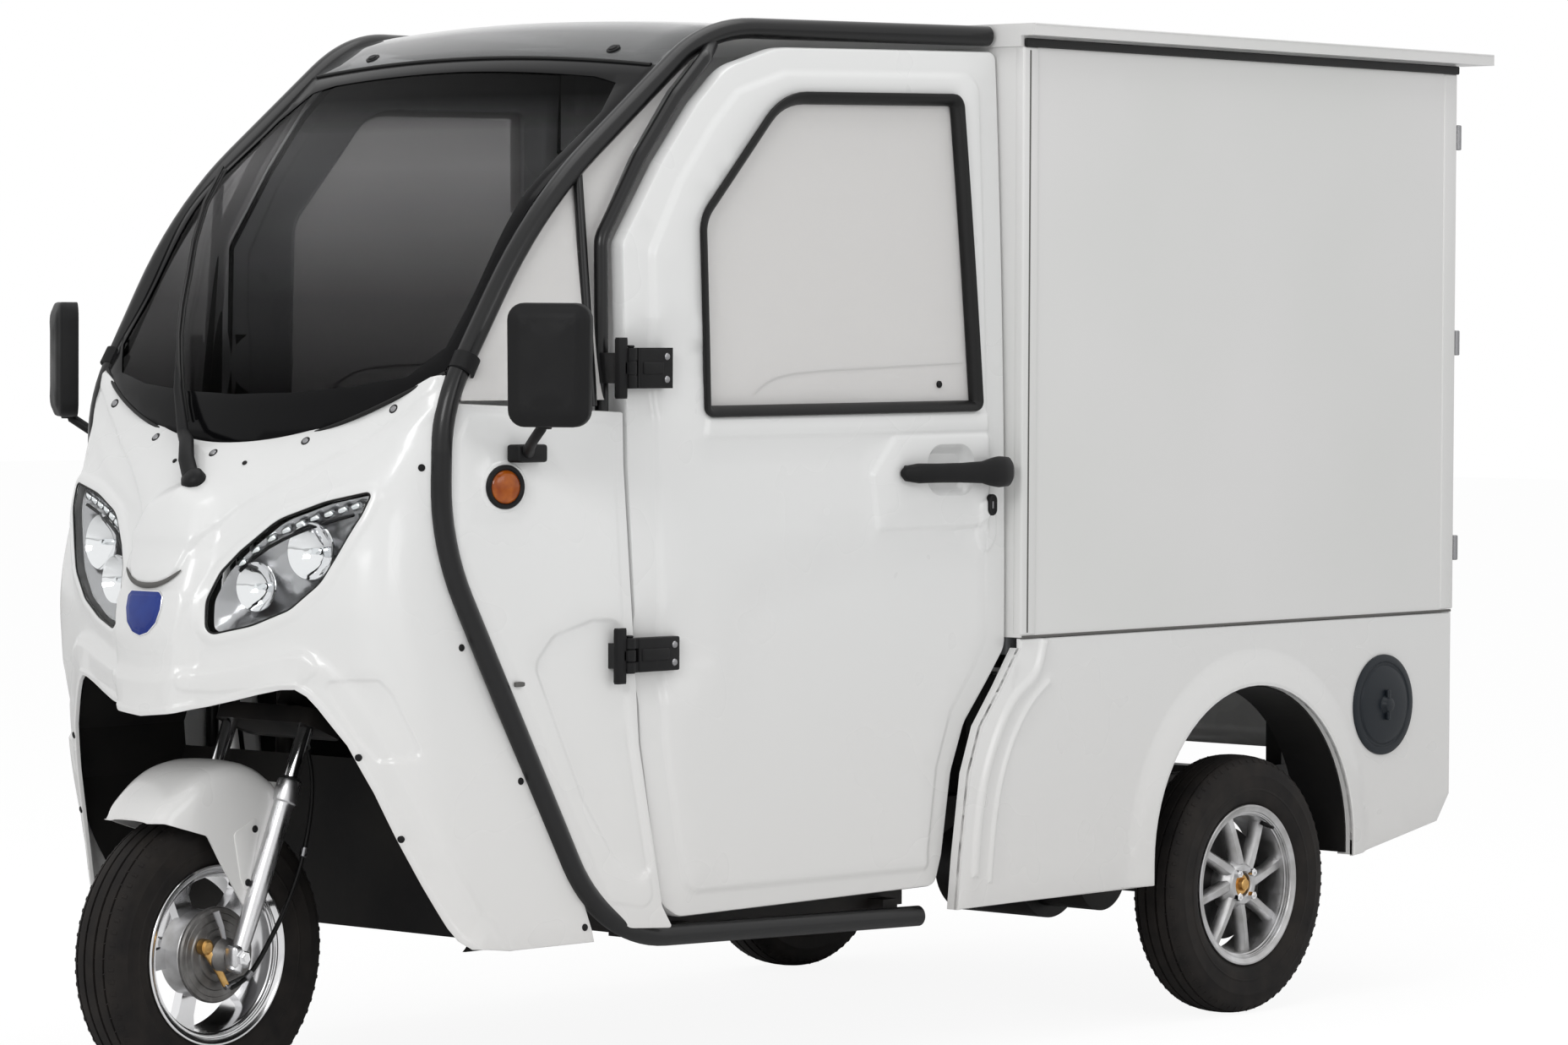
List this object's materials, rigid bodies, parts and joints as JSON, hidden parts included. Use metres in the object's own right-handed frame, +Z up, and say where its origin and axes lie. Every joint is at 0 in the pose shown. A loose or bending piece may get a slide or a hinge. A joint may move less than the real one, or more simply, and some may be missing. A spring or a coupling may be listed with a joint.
{
  "type": "cargo_tricycle",
  "caption": "Electric three-wheeled delivery vehicle with a closed driver's cab, a boxy load compartment behind it, hinged side doors and rear doors",
  "frame": {"origin": "centre of the outline seen from above, on the ground", "axes": "+Z up, -Y towards the front of the vehicle, +X towards the vehicle's left side"},
  "size_m": [1.2558, 2.926, 1.7282],
  "materials": {
    "body_white": "gloss paint",
    "frame_black": "satin paint",
    "dark_plastic": "matt",
    "tyre_rubber": "matt",
    "wheel_alloy": "cast and machined",
    "bright_steel": "brushed",
    "floor_steel": "satin paint",
    "clear_glass": "clear",
    "lamp_lens": "clear",
    "seat_fabric": "matt"
  },
  "bodies": {
    "root": {"front_fairing": "body_white", "front_liner": "dark_plastic", "headlamp_left": "lamp_lens", "headlamp_right": "lamp_lens", "windscreen": "clear_glass", "cab_roof": "body_white", "roll_tube_left": "frame_black", "roll_tube_right": "frame_black", "cowl_side_left": "body_white", "cowl_side_right": "body_white", "quarter_window_left": "clear_glass", "quarter_window_right": "clear_glass", "cargo_side_left": "body_white", "cargo_side_right": "body_white", "cargo_front": "body_white", "cargo_roof": "body_white", "cargo_floor": "floor_steel", "skirt_left": "body_white", "skirt_right": "body_white", "rear_liner_left": "dark_plastic", "rear_liner_right": "dark_plastic", "charging_hatch": "dark_plastic", "chassis_frame": "frame_black", "floor_pan": "floor_steel", "seat_cushion": "seat_fabric", "seat_back": "seat_fabric", "battery_box": "dark_plastic", "rear_axle": "frame_black", "tail_board": "body_white", "dash_panel": "dark_plastic", "mirror_left": "dark_plastic", "mirror_right": "dark_plastic", "wiper": "dark_plastic"},
    "door_left": {"door_shell_left": "body_white", "door_glass_left": "clear_glass", "door_handle_left": "dark_plastic", "door_hinges_left": "bright_steel"},
    "door_right": {"door_shell_right": "body_white", "door_glass_right": "clear_glass", "door_handle_right": "dark_plastic", "door_hinges_right": "bright_steel"},
    "rear_door_left": {"rear_door_left": "body_white"},
    "rear_door_right": {"rear_door_right": "body_white"},
    "steering": {"fork": "frame_black", "handlebar": "frame_black", "front_mudguard": "body_white"},
    "front_wheel": {"front_tyre": "tyre_rubber", "front_rim": "wheel_alloy"},
    "rear_wheel_left": {"rear_tyre_left": "tyre_rubber", "rear_rim_left": "wheel_alloy"},
    "rear_wheel_right": {"rear_tyre_right": "tyre_rubber", "rear_rim_right": "wheel_alloy"}
  },
  "joints": [
    {"name": "steering", "type": "hinge", "parent": "root", "child": "steering", "pos_m": [0, -1.0441, 0.5685], "axis": [0, 0.3827, 0.9239], "range_deg": [-35, 35]},
    {"name": "front_wheel_spin", "type": "hinge", "parent": "steering", "child": "front_wheel", "pos_m": [0, -1.233, 0.23], "axis": [1, 0, 0], "continuous": true},
    {"name": "rear_wheel_left_spin", "type": "hinge", "parent": "root", "child": "rear_wheel_left", "pos_m": [0.517, 0.767, 0.23], "axis": [1, 0, 0], "continuous": true},
    {"name": "rear_wheel_right_spin", "type": "hinge", "parent": "root", "child": "rear_wheel_right", "pos_m": [-0.517, 0.767, 0.23], "axis": [1, 0, 0], "continuous": true},
    {"name": "door_left_swing", "type": "hinge", "parent": "root", "child": "door_left", "pos_m": [0.49382, -0.774, 0.9], "axis": [0, 0, -1], "range_deg": [0, 70]},
    {"name": "door_right_swing", "type": "hinge", "parent": "root", "child": "door_right", "pos_m": [-0.49382, -0.774, 0.9], "axis": [0, 0, 1], "range_deg": [0, 70]},
    {"name": "rear_door_left_swing", "type": "hinge", "parent": "root", "child": "rear_door_left", "pos_m": [0.563, 1.393, 1.2], "axis": [0, 0, -1], "range_deg": [0, 110]},
    {"name": "rear_door_right_swing", "type": "hinge", "parent": "root", "child": "rear_door_right", "pos_m": [-0.563, 1.393, 1.2], "axis": [0, 0, 1], "range_deg": [0, 110]}
  ]
}
